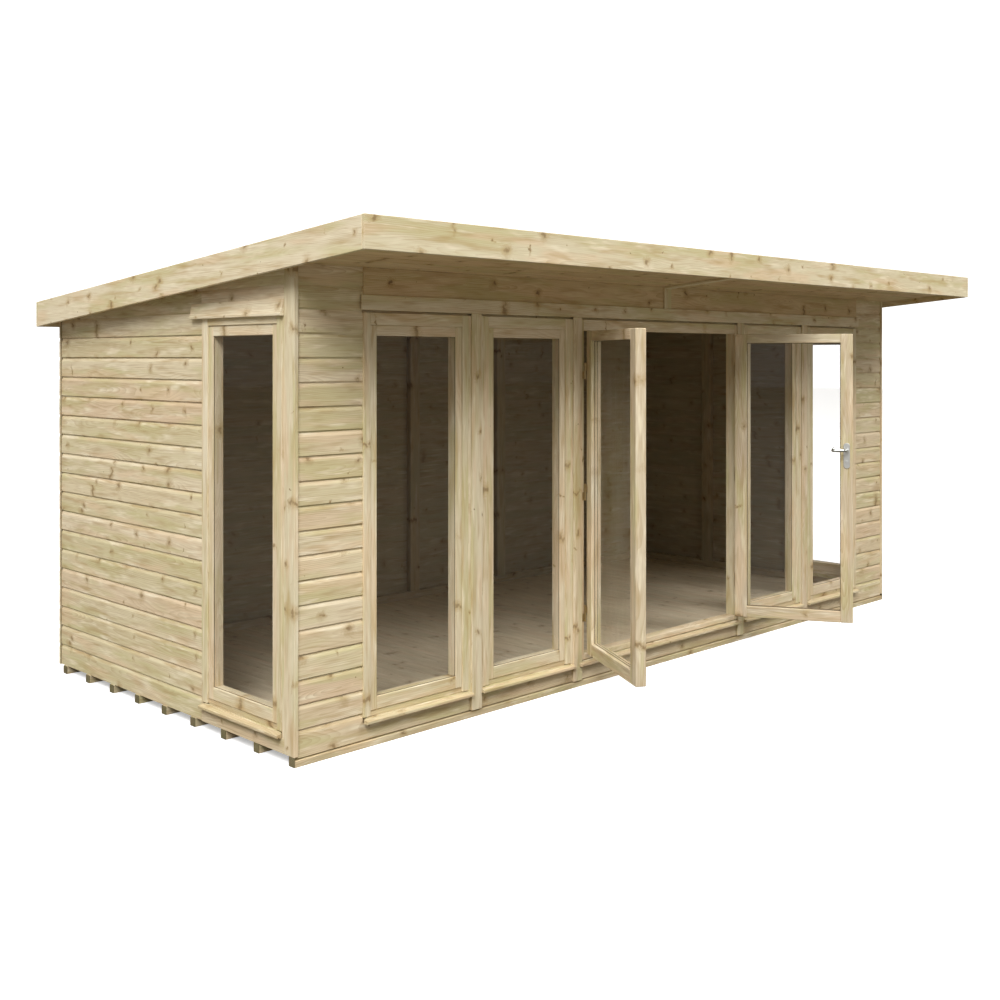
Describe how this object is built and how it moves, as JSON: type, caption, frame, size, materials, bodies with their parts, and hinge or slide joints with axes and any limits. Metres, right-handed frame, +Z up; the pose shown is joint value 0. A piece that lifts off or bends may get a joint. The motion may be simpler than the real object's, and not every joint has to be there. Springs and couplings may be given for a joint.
{
  "type": "garden office pod",
  "caption": "Timber garden office pod with a sloping roof, tall windows along the front and ends, and glazed doors that swing outward.",
  "frame": {"origin": "middle of the underside of the middle floor bearer, on the ground", "axes": "+X along the front to the right, +Y from the front to the back, +Z up"},
  "size_m": [5.59, 3.1496, 2.4295],
  "materials": {
    "pine_boards": "sawn, treated",
    "pine_trim": "planed, treated",
    "pine_frames": "planed, treated",
    "pine_floor": "planed",
    "pine_soffit": "planed",
    "window_glass": "clear",
    "roof_rubber": "matte",
    "brassed_steel": "brass plated",
    "satin_steel": "satin"
  },
  "bodies": {
    "pod": {"left_wall": "pine_boards", "right_wall": "pine_boards", "back_wall": "pine_boards", "front_walls": "pine_boards", "head_boards": "pine_boards", "kick_boards": "pine_boards", "front_header": "pine_trim", "end_lintels": "pine_trim", "corner_boards": "pine_trim", "cover_strips": "pine_trim", "sills": "pine_trim", "front_fascia": "pine_trim", "back_fascia": "pine_trim", "side_fascias": "pine_trim", "roof_joint_battens": "pine_trim", "floor_bearers": "pine_frames", "sole_plates": "pine_frames", "wall_studs": "pine_frames", "front_beam": "pine_frames", "front_posts": "pine_frames", "door_jambs": "pine_frames", "door_head": "pine_frames", "door_threshold": "pine_frames", "front_window_1": "pine_frames", "front_window_2": "pine_frames", "front_window_3": "pine_frames", "front_window_4": "pine_frames", "left_window": "pine_frames", "right_window": "pine_frames", "floor_deck": "pine_floor", "roof_panel_left": "pine_soffit", "roof_panel_right": "pine_soffit", "front_glass_1": "window_glass", "front_glass_2": "window_glass", "front_glass_3": "window_glass", "front_glass_4": "window_glass", "left_glass": "window_glass", "right_glass": "window_glass", "roof_covering": "roof_rubber", "jamb_hinges": "brassed_steel"},
    "left_door": {"left_door": "pine_frames", "left_door_glass": "window_glass", "left_door_hinges": "brassed_steel"},
    "right_door": {"right_door": "pine_frames", "right_door_glass": "window_glass", "right_door_hinges": "brassed_steel", "handle_plates": "satin_steel"},
    "lever": {"door_lever": "satin_steel"}
  },
  "joints": [
    {"name": "left_door_swing", "type": "hinge", "parent": "pod", "child": "left_door", "pos_m": [-0.7355, -1.166, 1], "axis": [0, 0, -1], "range_deg": [-119, 41]},
    {"name": "right_door_swing", "type": "hinge", "parent": "pod", "child": "right_door", "pos_m": [0.7355, -1.166, 1], "axis": [0, 0, 1], "range_deg": [-119, 41]},
    {"name": "lever_turn", "type": "hinge", "parent": "right_door", "child": "lever", "pos_m": [1.04047, -1.79044, 1.262], "axis": [-0.8746, -0.4848, 0], "range_deg": [0, 40], "stiffness_Nm_per_rad": 1.5, "springref_deg": -34.38}
  ]
}
